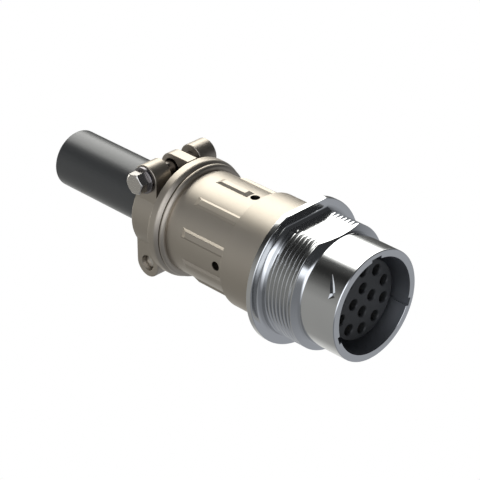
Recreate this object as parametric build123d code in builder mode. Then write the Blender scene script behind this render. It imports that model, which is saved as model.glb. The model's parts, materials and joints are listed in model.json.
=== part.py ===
from build123d import *
from math import cos, radians, sin, sqrt
import os

# Panel-mount multi-contact circular connector with a ribbed endbell and a saddle cable clamp.
# Sizes are millimetres. The mating rim's centre is the origin, +X points at the mating plug, and
# the flats that stop the shell turning in its panel face up, +Z. Angles run from +Y towards +Z.

# Clearances between neighbouring pieces
turned_fit = 0.05          # radial, between turned pieces that fit inside each other
face_fit = 0.05            # along the axis, between faces that bear on each other
grip_fit = 0.02            # radial, where rubber or a saddle grips the cable
screw_clearance = 0.25     # radial, where a clamp screw passes through a saddle

# Receptacle shell, from the mating rim back
nose_radius = 17.65
nose_length = 13.45
nose_chamfer = 0.35
mating_bore_radius = 15.33
mating_bore_depth = 12.0
mating_bore_relief = 0.25   # the bore is wider beside the insert
cone_length = 1.4
thread_radius = 20.0
thread_length = 12.55
flange_radius = 23.4
flange_thickness = 2.0
flange_chamfer = 0.35
flange_fillet = 1.4        # between the thread and the flange's front face
thread_flat_height = 18.04
flange_flat_height = 21.85
spigot_radius = 16.5       # thread that carries the endbell
spigot_length = 10.6

# Keyways in the mating bore: angle and width of each
keyway_depth = 0.87
main_key_width = 4.0
side_key_width = 2.6
side_key_angle = 108.5     # each side of the main keyway

# Bayonet ramps cut in the nose
ramp_count = 3
ramp_deep_angle = 148.5
ramp_sweep = 15.0          # degrees from the deep end to where the ramp fades out
ramp_deep_setback = 3.7    # from the rim
ramp_tail_setback = 6.3
ramp_end_slope = 1.4       # the flared slope behind the deep end
ramp_top = 0.5             # the cutting shape's height above the nose
# depth, then the floor's two sides and the mouth's two sides, measured towards the rim
ramp_end = (0.2, (-1.2, 1.55), (-1.7, 2.1))
ramp_deep = (0.45, (0.3, 0.4), (-1.4, 3.0))
ramp_tail = (0.06, (0.4, 0.45), (-0.9, 1.6))

# Inserts
insert_setback = 4.85      # insert face behind the rim
insert_radius = 12.8
insert_flange_radius = 14.4
insert_flange_thickness = 2.5
front_web = 4.0            # shell web that the insert's flange stops against
rear_insert_length = 8.5
ring_thickness = 2.5
ring_section = 1.8
grommet_length = 10.0
follower_thickness = 2.0
follower_section = 2.2
wire_run_out = 1.0         # from the follower to the wires' first bend

# Contacts
outer_count = 10
outer_circle = 19.3
outer_start = 18.0
inner_count = 4
inner_circle = 7.9
entry_radius = 1.65        # hole in the insert's face
entry_depth = 3.4
barrel_radius = 1.25
socket_bore = 0.8
socket_depth = 8.5
socket_setback = 8.3       # contact's front end behind the rim
collar_radius = 1.6
collar_length = 2.2
wire_barrel_length = 16.0
crimp_depth = 5.0
core_radius = 0.5
insulation_radius = 1.2

# Endbell
band_radius = 18.75
band_length = 15.5
band_chamfer = 0.8
neck_radius = 16.85
neck_length = 26.1
shoulder_radius = 18.6
shoulder_length = 0.9
joint_chamfer = 0.3        # on both sides of the joint behind the shoulder
cavity_radius = 13.6
gland_bore_radius = 14.6
gland_bore_depth = 14.9
seal_groove_depth = 1.2
seal_section = 1.0         # square seal ring in the endbell's mouth

# Grip ribs round the neck
rib_count = 10
rib_base_width = 3.3
rib_top_width = 1.8
rib_height = 0.65
rib_sink = 0.12            # foot below the neck's surface
rib_base_length = 19.2
rib_rear_slope = 2.1
short_rib_start = 5.5      # where the top and bottom ribs begin behind the band
short_rib_slope = 1.8
spanner_hole_radius = 1.5
spanner_hole_depth = 2.2
spanner_hole_setback = 3.8  # behind the band

# Clamp body
clamp_ring_radius = 19.35
clamp_ring_round = 1.6
clamp_ring_length = 3.9
clamp_bore_radius = 10.4
tongue_thickness = 4.0
tongue_end_radius = 4.67
tongue_hole_radius = 3.0
gland_washer_thickness = 1.2
gland_seal_length = 8.0

# Saddles and their screws
screw_setback = 7.2        # screw axes behind the clamp ring
screw_height = 14.85       # screw axes above and below the cable's axis
lug_radius = 4.7
saddle_inner = 6.3         # each saddle's inner face from the cable's axis
saddle_outer = 13.0
saddle_bulge_radius = 15.05
saddle_edge_round = 0.6
screw_radius = 2.5
thread_fit = 0.03
head_flats = 6.35
head_height = 3.5
head_turn = 14.0           # the top screw's head about its own axis, from +X towards +Z
head_chamfer = 0.38        # at the corners, 30 degrees to the end face
washer_thickness = 1.2
washer_radius = 4.3
washer_gap = 0.9
tip_recess = 1.5
tip_chamfer = 0.5

# Cable
cable_radius = 9.64
filler_radius = 7.7
cable_end = 130.1          # cut end behind the rim
jacket_overlap = 3.0       # jacket inside the endbell, past its seal
wire_fan_outer = 5.8       # the wires' circles where they enter the cable
wire_fan_inner = 2.0
wire_run_in = 2.5          # from the wires' last bend to the cable's filler
fan_bend_radius = 10.0

# Stations along the axis
cone_front = -nose_length
cone_rear = cone_front - cone_length
flange_front = cone_rear - thread_length
flange_rear = flange_front - flange_thickness
spigot_end = flange_rear - spigot_length
insert_face = -insert_setback
web_front = -mating_bore_depth
web_rear = web_front - front_web
insert_rear = web_rear - insert_flange_thickness
rear_insert_end = insert_rear - rear_insert_length
ring_end = rear_insert_end - ring_thickness
grommet_end = ring_end - grommet_length
follower_end = grommet_end - follower_thickness
band_front = flange_rear - face_fit
band_rear = band_front - band_length
neck_rear = band_rear - neck_length
endbell_rear = neck_rear - shoulder_length
gland_shoulder = endbell_rear + gland_bore_depth
clamp_front = endbell_rear - face_fit
clamp_rear = clamp_front - clamp_ring_length
screw_x = clamp_rear - screw_setback
seal_rear = gland_shoulder - gland_seal_length
jacket_front = gland_shoulder + jacket_overlap
contact_front = -socket_setback
collar_front = insert_rear + collar_length / 2
contact_end = collar_front - collar_length - wire_barrel_length
fan_front = follower_end - wire_run_out
fan_rear = jacket_front + wire_run_in

# Places of the contacts: circle, count and first angle
contact_rings = [
    (outer_circle / 2, outer_count, outer_start),
    (inner_circle / 2, inner_count, 0.0),
]


def outward(angle):
    # unit vector from the connector's axis at an angle
    return Vector(0, cos(radians(angle)), sin(radians(angle)))


def tangent_plane(station, radius, angle):
    # plane that touches a cylinder about the axis, its x along +X
    foot = Vector(station, 0, 0) + outward(angle) * radius
    return Plane(origin=foot, x_dir=(1, 0, 0), z_dir=outward(angle))


def turned(outline, mode=Mode.ADD):
    # revolve an outline of (station, radius) corners about the axis
    with BuildSketch(Plane.XZ) as section:
        with BuildLine():
            Polyline(*outline, close=True)
        make_face()
    revolve(section.sketch, axis=Axis.X, mode=mode)


def turned_ring(front, rear, outer, inner=0.0, mode=Mode.ADD):
    turned([(front, inner), (front, outer), (rear, outer), (rear, inner)], mode)


def contact_holes(front, rear, radius):
    # one hole at each contact's place, between two stations
    with BuildSketch(Plane.YZ.offset(rear)) as section:
        for circle_radius, count, start in contact_rings:
            with PolarLocations(circle_radius, count, start):
                Circle(radius)
    extrude(section.sketch, amount=front - rear, mode=Mode.SUBTRACT)


def ramp_section(plane, depth, floor, mouth):
    # cross-section of a bayonet ramp, its sloped sides carried on above the nose
    with BuildSketch(plane) as section:
        with BuildLine():
            Polyline(
                (-floor[0], -depth),
                (-floor[1], -depth),
                (-mouth[1], ramp_top),
                (-mouth[0], ramp_top),
                close=True,
            )
        make_face()
    return section.sketch


def cut_ramp(turn):
    # straight groove with a flared slope at its deep end, running out of the nose at the other
    deep_out = outward(ramp_deep_angle + turn)
    tail_out = outward(ramp_deep_angle - ramp_sweep + turn)
    deep_foot = Vector(-ramp_deep_setback, 0, 0) + deep_out * nose_radius
    tail_foot = Vector(-ramp_tail_setback, 0, 0) + tail_out * nose_radius
    along = (tail_foot - deep_foot).normalized()
    deep_plane = Plane(origin=deep_foot, x_dir=deep_out.cross(along), z_dir=along)
    tail_plane = Plane(origin=tail_foot, x_dir=tail_out.cross(along), z_dir=along)
    sections = [
        ramp_section(deep_plane.offset(-ramp_end_slope), *ramp_end),
        ramp_section(deep_plane, *ramp_deep),
        ramp_section(tail_plane, *ramp_tail),
    ]
    loft(sections, ruled=True, mode=Mode.SUBTRACT)


# Receptacle shell
counterbore_radius = insert_flange_radius + turned_fit
key_places = [
    (90, main_key_width),
    (90 - side_key_angle, side_key_width),
    (90 + side_key_angle, side_key_width),
]
with BuildPart() as receptacle_shell:
    with BuildSketch(Plane.XZ):
        with BuildLine():
            rim = Polyline(
                (0, mating_bore_radius),
                (0, nose_radius - nose_chamfer),
                (-nose_chamfer, nose_radius),
                (cone_front, nose_radius),
                (cone_rear, thread_radius),
                (flange_front + flange_fillet, thread_radius),
            )
            root = TangentArc(rim @ 1, (flange_front, thread_radius + flange_fillet), tangent=rim % 1)
            Polyline(
                root @ 1,
                (flange_front, flange_radius - flange_chamfer),
                (flange_front - flange_chamfer, flange_radius),
                (flange_rear, flange_radius),
                (flange_rear, spigot_radius),
                (spigot_end, spigot_radius),
                (spigot_end, counterbore_radius),
                (web_rear, counterbore_radius),
                (web_rear, insert_radius + turned_fit),
                (web_front, insert_radius + turned_fit),
                (web_front, mating_bore_radius + mating_bore_relief),
                (insert_face + face_fit, mating_bore_radius + mating_bore_relief),
                (insert_face + face_fit, mating_bore_radius),
                rim @ 0,
            )
        make_face()
    revolve(axis=Axis.X)
    with BuildSketch(Plane.XZ):
        with BuildLine():
            flat = Polyline(
                (flange_front + flange_fillet, thread_flat_height),
                (0, thread_flat_height),
                (0, 2 * flange_radius),
                (flange_rear, 2 * flange_radius),
                (flange_rear, flange_flat_height),
                (flange_front, flange_flat_height),
                (flange_front, thread_flat_height + flange_fillet),
            )
            TangentArc(flat @ 0, flat @ 1, tangent=(-1, 0))
        make_face()
    extrude(amount=flange_radius, both=True, mode=Mode.SUBTRACT)
    for key_angle, key_width in key_places:
        with BuildSketch(Plane.YZ.offset(web_front)):
            with PolarLocations(mating_bore_radius, 1, key_angle):
                Rectangle(2 * keyway_depth, key_width)
        extrude(amount=mating_bore_depth, mode=Mode.SUBTRACT)
    for ramp in range(ramp_count):
        cut_ramp(360 / ramp_count * ramp)

# Inserts, with the pockets that hold the contacts' collars between them
pocket_radius = collar_radius + turned_fit
barrel_hole_radius = barrel_radius + turned_fit
with BuildPart() as front_insert:
    turned([
        (insert_face, 0),
        (insert_face, insert_radius),
        (web_rear - face_fit, insert_radius),
        (web_rear - face_fit, insert_flange_radius),
        (insert_rear, insert_flange_radius),
        (insert_rear, 0),
    ])
    contact_holes(insert_face, insert_face - entry_depth, entry_radius)
    contact_holes(insert_face, insert_rear, barrel_hole_radius)
    contact_holes(collar_front + face_fit, insert_rear, pocket_radius)

with BuildPart() as rear_insert:
    turned_ring(insert_rear - face_fit, rear_insert_end, insert_flange_radius)
    contact_holes(insert_rear, rear_insert_end, barrel_hole_radius)
    contact_holes(insert_rear, collar_front - collar_length - face_fit, pocket_radius)

with BuildPart() as insert_retaining_ring:
    ring_bore = insert_flange_radius - ring_section
    turned_ring(rear_insert_end - face_fit, ring_end, insert_flange_radius, ring_bore)

# Socket contacts, with a bore at the front for the mating pin and one at the back for the wire
with BuildPart() as socket_contacts:
    for circle_radius, count, start in contact_rings:
        with BuildSketch(Plane.YZ.offset(contact_end)):
            with PolarLocations(circle_radius, count, start):
                Circle(barrel_radius)
        extrude(amount=contact_front - contact_end)
        with BuildSketch(Plane.YZ.offset(collar_front - collar_length)):
            with PolarLocations(circle_radius, count, start):
                Circle(collar_radius)
        extrude(amount=collar_length)
    contact_holes(contact_front, contact_front - socket_depth, socket_bore)
    contact_holes(contact_end + crimp_depth, contact_end, core_radius + turned_fit)

# Wire seal behind the inserts and the ring that the endbell presses on it
with BuildPart() as wire_grommet:
    turned_ring(ring_end - face_fit, grommet_end, insert_flange_radius)
    contact_holes(ring_end, contact_end, barrel_hole_radius)
    contact_holes(contact_end, grommet_end, insulation_radius + grip_fit)

with BuildPart() as grommet_follower:
    follower_bore = insert_flange_radius - follower_section
    turned_ring(grommet_end - face_fit, follower_end, insert_flange_radius, follower_bore)

# Seal ring in the endbell's mouth, against the flange
seal_ring_bore = spigot_radius + grip_fit
seal_ring_outer = seal_ring_bore + seal_section
seal_groove_radius = seal_ring_outer + grip_fit
seal_groove_floor = band_front - seal_groove_depth
with BuildPart() as shell_seal_ring:
    turned_ring(band_front, band_front - seal_section, seal_ring_outer, seal_ring_bore)


def grip_rib(angle, front_foot, front_top):
    # trapezoid rib that stands on the neck, its foot sunk just below the surface
    rear_foot = band_rear - rib_base_length
    rear_top = rear_foot + rib_rear_slope
    foot_plane = tangent_plane(0, neck_radius - rib_sink, angle)
    top_plane = tangent_plane(0, neck_radius + rib_height, angle)
    with BuildSketch(foot_plane) as foot:
        with Locations(((front_foot + rear_foot) / 2, 0)):
            Rectangle(front_foot - rear_foot, rib_base_width)
    with BuildSketch(top_plane) as top:
        with Locations(((front_top + rear_top) / 2, 0)):
            Rectangle(front_top - rear_top, rib_top_width)
    loft([foot.sketch, top.sketch])


# Endbell
rib_spacing = 360 / rib_count
bearing_face = follower_end - face_fit
with BuildPart() as endbell:
    with BuildSketch(Plane.XZ):
        with BuildLine():
            outside = Polyline(
                (band_front, seal_groove_radius),
                (band_front, band_radius - band_chamfer),
                (band_front - band_chamfer, band_radius),
                (band_rear, band_radius),
                (band_rear, neck_radius),
                (neck_rear, neck_radius),
            )
            shoulder_edge = (endbell_rear + joint_chamfer, shoulder_radius)
            rolled = TangentArc(outside @ 1, shoulder_edge, tangent=(0, 1))
            Polyline(
                rolled @ 1,
                (endbell_rear, shoulder_radius - joint_chamfer),
                (endbell_rear, gland_bore_radius),
                (gland_shoulder, gland_bore_radius),
                (gland_shoulder, cavity_radius),
                (bearing_face, cavity_radius),
                (bearing_face, spigot_radius + turned_fit),
                (seal_groove_floor, spigot_radius + turned_fit),
                (seal_groove_floor, seal_groove_radius),
                outside @ 0,
            )
        make_face()
    revolve(axis=Axis.X)
    for rib in range(rib_count):
        rib_angle = 90 + rib * rib_spacing
        if rib_angle % 180 == 90:
            short_foot = band_rear - short_rib_start
            grip_rib(rib_angle, short_foot, short_foot - short_rib_slope)
        else:
            grip_rib(rib_angle, band_rear, band_rear)
    for hole_angle in (0, 90, 180, 270):
        with BuildSketch(tangent_plane(band_rear - spanner_hole_setback, neck_radius, hole_angle)):
            Circle(spanner_hole_radius)
        extrude(amount=-spanner_hole_depth, mode=Mode.SUBTRACT)

# Cable gland: rubber sleeve and the washer that the clamp body presses on it
with BuildPart() as gland_seal:
    turned_ring(gland_shoulder - face_fit, seal_rear, gland_bore_radius - grip_fit, cable_radius + grip_fit)

gland_washer_rear = seal_rear - face_fit - gland_washer_thickness
with BuildPart() as gland_washer:
    turned_ring(seal_rear - face_fit, gland_washer_rear, gland_bore_radius - turned_fit, clamp_bore_radius)

# Clamp body: a ring with a tongue above and one below the cable
with BuildPart() as clamp_body:
    with BuildSketch(Plane.XZ):
        with BuildLine():
            ring_round = TangentArc(
                (clamp_front - clamp_ring_round, clamp_ring_radius),
                (clamp_front - joint_chamfer, shoulder_radius),
                tangent=(1, 0),
            )
            Polyline(
                ring_round @ 1,
                (clamp_front, shoulder_radius - joint_chamfer),
                (clamp_front, gland_bore_radius - turned_fit),
                (gland_washer_rear - face_fit, gland_bore_radius - turned_fit),
                (gland_washer_rear - face_fit, clamp_bore_radius),
                (clamp_rear, clamp_bore_radius),
                (clamp_rear, clamp_ring_radius),
                ring_round @ 0,
            )
        make_face()
    revolve(axis=Axis.X)
    for height in (screw_height, -screw_height):
        with BuildSketch(Plane.XZ):
            with Locations((screw_x, height)):
                Circle(tongue_end_radius)
            with Locations(((screw_x + clamp_rear) / 2, height)):
                Rectangle(clamp_rear - screw_x, 2 * tongue_end_radius)
        extrude(amount=tongue_thickness / 2, both=True)
        with BuildSketch(Plane.XZ):
            with Locations((screw_x, height)):
                Circle(tongue_hole_radius)
        extrude(amount=tongue_thickness / 2, both=True, mode=Mode.SUBTRACT)

# Saddle on the -Y side: a flat bar with two screw lugs, arched over the cable
arch_width = 2 * saddle_bulge_radius
saddle_holes = [
    (screw_height, screw_radius + screw_clearance),
    (-screw_height, screw_radius + thread_fit),
]
with BuildPart() as near_saddle:
    with BuildSketch(Plane.XZ.offset(saddle_inner)):
        with Locations((screw_x, 0)):
            SlotCenterToCenter(2 * screw_height, 2 * lug_radius, rotation=90)
    extrude(amount=saddle_outer - saddle_inner)
    with BuildSketch(Plane.YZ.offset(screw_x)):
        Circle(saddle_bulge_radius)
        with Locations((-saddle_inner, 0)):
            Rectangle(arch_width, arch_width, align=(Align.MIN, Align.CENTER), mode=Mode.SUBTRACT)
    extrude(amount=lug_radius, both=True)
    outer_limit = saddle_edge_round / 2 - saddle_outer
    fillet(near_saddle.edges().filter_by(lambda edge: edge.center().Y < outer_limit), saddle_edge_round)
    with BuildSketch(Plane.YZ.offset(screw_x)):
        Circle(cable_radius + grip_fit)
    extrude(amount=2 * lug_radius, both=True, mode=Mode.SUBTRACT)
    for height, radius in saddle_holes:
        with BuildSketch(Plane.XZ):
            with Locations((screw_x, height)):
                Circle(radius)
        extrude(amount=2 * saddle_outer, mode=Mode.SUBTRACT)

# The other saddle is the same casting, turned half a turn about the cable
with BuildPart() as far_saddle:
    add(near_saddle.part.rotate(Axis.X, 180))

# Spring washer and screw at the top, its head on the -Y side
washer_seat = saddle_outer + face_fit
head_seat = washer_seat + washer_thickness + face_fit
head_end = head_seat + head_height
head_corner = head_flats / sqrt(3)
with BuildPart() as top_spring_washer:
    with BuildSketch(Plane.XZ.offset(washer_seat)):
        with Locations((screw_x, screw_height)):
            Circle(washer_radius)
            Circle(screw_radius + screw_clearance, mode=Mode.SUBTRACT)
            Rectangle(washer_radius, washer_gap, align=(Align.MIN, Align.CENTER), mode=Mode.SUBTRACT)
    extrude(amount=washer_thickness)

with BuildPart() as top_screw:
    with BuildSketch(Plane.XZ.offset(head_seat)):
        with Locations((screw_x, screw_height)):
            RegularPolygon(head_flats / 2, 6, major_radius=False, rotation=head_turn)
    extrude(amount=head_height)
    with BuildSketch(Plane(origin=(screw_x, 0, screw_height))):
        with BuildLine():
            Polyline(
                (0, 0),
                (head_corner, 0),
                (head_corner, -head_end + head_chamfer),
                (head_corner - head_chamfer * sqrt(3), -head_end),
                (0, -head_end),
                close=True,
            )
        make_face()
    screw_axis = Axis((screw_x, 0, screw_height), (0, 1, 0))
    revolve(axis=screw_axis, mode=Mode.INTERSECT)
    with BuildSketch(Plane.XZ.offset(head_seat)):
        with Locations((screw_x, screw_height)):
            Circle(screw_radius)
    extrude(amount=-(head_seat + saddle_outer - tip_recess))
    chamfer(top_screw.edges().sort_by(Axis.Y)[-1], tip_chamfer)

# The bottom screw comes from the other side
with BuildPart() as bottom_spring_washer:
    add(top_spring_washer.part.rotate(Axis.X, 180))

with BuildPart() as bottom_screw:
    add(top_screw.part.rotate(Axis.X, 180))

# Cable
with BuildPart() as cable_jacket:
    turned_ring(jacket_front, -cable_end, cable_radius, filler_radius)

with BuildPart() as cable_filler:
    turned_ring(jacket_front, -cable_end, filler_radius - turned_fit)
    with BuildSketch(Plane.YZ.offset(-cable_end)):
        with PolarLocations(wire_fan_outer, outer_count, outer_start):
            Circle(insulation_radius + grip_fit)
        with PolarLocations(wire_fan_inner, inner_count):
            Circle(insulation_radius + grip_fit)
    extrude(amount=jacket_front + cable_end, mode=Mode.SUBTRACT)


def wire_run(from_radius, to_radius, angle):
    # a wire's route from its contact, in towards the axis and along the cable
    corners = [
        Vector(contact_end - face_fit, 0, 0) + outward(angle) * from_radius,
        Vector(fan_front, 0, 0) + outward(angle) * from_radius,
        Vector(fan_rear, 0, 0) + outward(angle) * to_radius,
        Vector(-cable_end, 0, 0) + outward(angle) * to_radius,
    ]
    with BuildLine() as route:
        FilletPolyline(*corners, radius=fan_bend_radius)
    return route.line


# Wires, fanned in from the contacts' circles to the cable's
with BuildPart() as wires:
    for (ring_radius, count, start), cable_ring in zip(contact_rings, (wire_fan_outer, wire_fan_inner)):
        for wire in range(count):
            route = wire_run(ring_radius, cable_ring, start + wire * 360 / count)
            with BuildSketch(Plane(origin=route @ 0, x_dir=(0, 1, 0), z_dir=(-1, 0, 0))) as section:
                Circle(insulation_radius)
            sweep(section.sketch, path=route)

# Stripped ends of the wires, crimped in the contacts
with BuildPart() as wire_ends:
    for ring_radius, count, start in contact_rings:
        with BuildSketch(Plane.YZ.offset(contact_end)):
            with PolarLocations(ring_radius, count, start):
                Circle(core_radius)
        extrude(amount=crimp_depth - face_fit)

os.makedirs("parts", exist_ok=True)
pieces = {
    "receptacle_shell": receptacle_shell,
    "front_insert": front_insert,
    "rear_insert": rear_insert,
    "insert_retaining_ring": insert_retaining_ring,
    "socket_contacts": socket_contacts,
    "wire_grommet": wire_grommet,
    "grommet_follower": grommet_follower,
    "shell_seal_ring": shell_seal_ring,
    "endbell": endbell,
    "gland_seal": gland_seal,
    "gland_washer": gland_washer,
    "clamp_body": clamp_body,
    "near_saddle": near_saddle,
    "far_saddle": far_saddle,
    "top_screw": top_screw,
    "bottom_screw": bottom_screw,
    "top_spring_washer": top_spring_washer,
    "bottom_spring_washer": bottom_spring_washer,
    "cable_jacket": cable_jacket,
    "cable_filler": cable_filler,
    "wires": wires,
    "wire_ends": wire_ends,
}
for node, piece in pieces.items():
    piece.part.label = node
    export_step(piece.part, f"parts/{node}.step")
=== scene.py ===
import json
import math

import bmesh
import bpy
from mathutils import Matrix, Vector


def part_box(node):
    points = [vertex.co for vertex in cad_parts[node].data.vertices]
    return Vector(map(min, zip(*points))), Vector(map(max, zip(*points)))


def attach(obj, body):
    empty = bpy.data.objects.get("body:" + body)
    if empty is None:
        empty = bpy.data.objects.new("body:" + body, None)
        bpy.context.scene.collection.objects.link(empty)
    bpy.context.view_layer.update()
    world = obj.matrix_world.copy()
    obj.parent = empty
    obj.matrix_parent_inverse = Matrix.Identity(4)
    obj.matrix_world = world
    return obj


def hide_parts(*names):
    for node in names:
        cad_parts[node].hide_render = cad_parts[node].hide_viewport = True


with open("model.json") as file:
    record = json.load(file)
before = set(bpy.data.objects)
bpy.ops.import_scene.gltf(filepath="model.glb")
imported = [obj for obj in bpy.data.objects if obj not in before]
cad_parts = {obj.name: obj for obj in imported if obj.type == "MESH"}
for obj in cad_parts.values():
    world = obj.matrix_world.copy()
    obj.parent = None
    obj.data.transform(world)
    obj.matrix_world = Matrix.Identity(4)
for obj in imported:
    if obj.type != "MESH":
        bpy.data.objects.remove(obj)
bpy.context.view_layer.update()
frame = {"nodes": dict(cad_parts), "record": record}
mm = 0.001
fullTurn = math.radians(360)
axis = Vector((1, 0, 0))  # the connector's own axis
sideways = Vector((0, 1, 0))  # along the flats and the clamp screws
past = 1.0  # how far a cutting shape stands past what it cuts, in millimetres
hair = 0.001  # keeps two corners or two loops apart, in millimetres
weld = 0.0001  # vertices nearer than this become one, in millimetres
near = 0.1  # how far an edge may lie from the place that picks it, in millimetres


def reach(node):
    # lowest and highest corners of a solid, in millimetres
    low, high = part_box(node)
    return low / mm, high / mm


# Camera

camera = {
    "place": (0.32925, -0.38443, 0.31342),
    "azimuth": 45,
    "elevation": 30,
    "lens": 154.2,
    "sensor": 36,
    "clipStart": 0.01,
}


def addCamera():
    data = bpy.data.cameras.new("camera")
    data.lens = camera["lens"]
    data.sensor_width = camera["sensor"]
    data.clip_start = camera["clipStart"]
    seat = bpy.data.objects.new("camera", data)
    seat.location = camera["place"]
    seat.rotation_euler = (math.radians(90 - camera["elevation"]), 0, math.radians(camera["azimuth"]))
    bpy.context.scene.collection.objects.link(seat)
    bpy.context.scene.camera = seat


addCamera()
print("camera placed")

# Shader nodes


class Wire:
    # a node's output, which can be used in sums

    def __init__(self, nodes, socket):
        self.nodes = nodes
        self.socket = socket

    def out(self, name):
        return Wire(self.nodes, self.socket.node.outputs[name])

    def maths(self, operation, first, second=0.0):
        return self.nodes.add("ShaderNodeMath", {"operation": operation}, {0: first, 1: second})

    def __add__(self, other):
        return self.maths("ADD", self, other)

    def __radd__(self, other):
        return self.maths("ADD", other, self)

    def __sub__(self, other):
        return self.maths("SUBTRACT", self, other)

    def __rsub__(self, other):
        return self.maths("SUBTRACT", other, self)

    def __mul__(self, other):
        return self.maths("MULTIPLY", self, other)

    def __rmul__(self, other):
        return self.maths("MULTIPLY", other, self)

    def __truediv__(self, other):
        return self.maths("DIVIDE", self, other)

    def __rtruediv__(self, other):
        return self.maths("DIVIDE", other, self)


class Nodes:
    # the nodes of a material or of the world

    def __init__(self, owner):
        owner.use_nodes = True
        self.owner = owner
        self.tree = owner.node_tree
        self.tree.nodes.clear()

    def add(self, kind, settings=None, inputs=None):
        node = self.tree.nodes.new(kind)
        for name, value in (settings or {}).items():
            if name == "stops":
                elements = node.color_ramp.elements
                while len(elements) < len(value):
                    elements.new(1.0)
                for element, (place, level) in zip(elements, value):
                    element.position = place
                    element.color = (level, level, level, 1)
            else:
                setattr(node, name, value)
        for name, value in (inputs or {}).items():
            if isinstance(value, Wire):
                self.tree.links.new(value.socket, node.inputs[name])
            else:
                node.inputs[name].default_value = value
        return Wire(self, node.outputs[0] if node.outputs else None)

    def noise(self, stretch, scale, detail=3.0):
        place = self.add("ShaderNodeTexCoord").out("Object")
        place = self.add("ShaderNodeMapping", {}, {"Vector": place, "Scale": stretch})
        return self.add("ShaderNodeTexNoise", {}, {"Vector": place, "Scale": scale, "Detail": detail})

    def between(self, factor, low, high):
        # a number that runs from low to high over the middle of a noise
        inputs = {"Value": factor, "From Min": 0.3, "From Max": 0.7, "To Min": low, "To Max": high}
        return self.add("ShaderNodeMapRange", {}, inputs)

    def step(self, value, start, end):
        # rises smoothly from 0 at start to 1 at end
        inputs = {"Value": value, "From Min": start, "From Max": end}
        return self.add("ShaderNodeMapRange", {"interpolation_type": "SMOOTHSTEP"}, inputs)

    def blend(self, factor, first, second):
        first, second = (shade if isinstance(shade, Wire) else (*shade, 1) for shade in (first, second))
        return self.add("ShaderNodeMix", {"data_type": "RGBA"}, {0: factor, 6: first, 7: second}).out(2)

    def within(self, radius, station):
        # 1 behind a station and inside a radius about the connector's axis, 0 elsewhere
        place = self.add("ShaderNodeTexCoord").out("Object")
        across = self.add("ShaderNodeVectorMath", {"operation": "MULTIPLY"}, {0: place, 1: (0, 1, 1)})
        length = self.add("ShaderNodeVectorMath", {"operation": "LENGTH"}, {0: across}).out("Value")
        along = self.add("ShaderNodeSeparateXYZ", {}, {"Vector": place})
        inside = length.maths("LESS_THAN", length, radius * mm)
        return inside * along.maths("LESS_THAN", along, station * mm)

    def bump(self, height, distance, strength):
        inputs = {"Height": height, "Distance": distance, "Strength": strength}
        return self.add("ShaderNodeBump", {}, inputs)

    def surface(self, inputs):
        shader = self.add("ShaderNodeBsdfPrincipled", {}, inputs)
        self.add("ShaderNodeOutputMaterial", {}, {"Surface": shader})
        return self.owner


# Studio: rings of light about the connector's axis, white to the camera, and a pale floor

studio = {
    # degrees about +X from +Y towards +Z, and the brightness there
    "rearRing": [
        (0, 0.15), (11, 0.22), (19, 1.1), (28, 3.8), (92, 3.8), (97, 0.9), (102, 0.12), (119, 0.03),
        (130, 0.035), (149, 0.16), (160, 0.30), (179, 0.42), (240, 0.39), (265, 0.40), (285, 0.68),
        (305, 0.85), (320, 0.35), (332, 0.15), (345, 0.10), (360, 0.16),
    ],
    "frontRing": [
        (0, 0.33), (10, 0.16), (20, 0.05), (104, 0.05), (112, 0.09), (120, 0.4), (130, 1.8),
        (168, 1.8), (180, 1.0), (190, 0.5), (202, 0.24), (235, 0.26), (260, 0.34), (280, 0.45),
        (325, 0.47), (345, 0.40), (360, 0.33),
    ],
    "between": (-0.43, -0.27),  # along +X, where one ring gives way to the other
    "rearTint": (1.0, 1.0, 0.97),
    "frontTint": (0.94, 0.98, 1.06),
    # the rear ring turns a few degrees back where it faces forward
    "lean": 9,
    "leaning": (-0.59, -0.49),
    # straight back along the axis it is bright below and dim above
    "back": (-0.87, -0.93),
    "backHeights": (-0.2, -0.06),
    "backLevels": (3.0, 0.3),
    "floorHeight": -23.8,
    "floorSize": 4000,
    "floorColour": (0.75, 0.75, 0.75, 1),
}


def lightWorld():
    world = bpy.data.worlds.new("studio")
    bpy.context.scene.world = world
    nodes = Nodes(world)
    direction = nodes.add("ShaderNodeTexCoord").out("Generated")
    parts = nodes.add("ShaderNodeSeparateXYZ", {}, {"Vector": direction})
    # the share of a turn about +X, kept above 0 for its fraction
    turn = parts.maths("ARCTAN2", parts.out("Z"), parts.out("Y")) / fullTurn + 1
    lean = nodes.step(parts.out("X"), *studio["leaning"]) * (studio["lean"] / 360)
    rings = studio["rearRing"], studio["frontRing"]
    # a ramp goes up to 1, so its levels are shares of the brightest
    brightest = max(level for ring in rings for degrees, level in ring)
    shades = []
    for ring, angle in zip(rings, (turn + lean, turn)):
        stops = [(degrees / 360, level / brightest) for degrees, level in ring]
        fraction = angle.maths("FRACT", angle)
        shades.append(nodes.add("ShaderNodeValToRGB", {"stops": stops}, {"Fac": fraction}))
    rear, front = shades
    share = nodes.step(parts.out("X"), *studio["between"])
    level = (rear * (1 - share) + front * share) * brightest
    behind = nodes.step(parts.out("X"), *studio["back"])
    low, high = studio["backLevels"]
    back = nodes.step(parts.out("Z"), *studio["backHeights"]) * (high - low) + low
    level = level * (1 - behind) + back * behind
    tint = nodes.blend(share, studio["rearTint"], studio["frontTint"])
    seen = nodes.add("ShaderNodeLightPath").out("Is Camera Ray")
    light = nodes.add("ShaderNodeBackground", {}, {"Color": tint, "Strength": level})
    white = nodes.add("ShaderNodeBackground", {}, {"Color": (1, 1, 1, 1), "Strength": 1.0})
    either = nodes.add("ShaderNodeMixShader", {}, {0: seen, 1: light, 2: white})
    nodes.add("ShaderNodeOutputWorld", {}, {"Surface": either})


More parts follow.
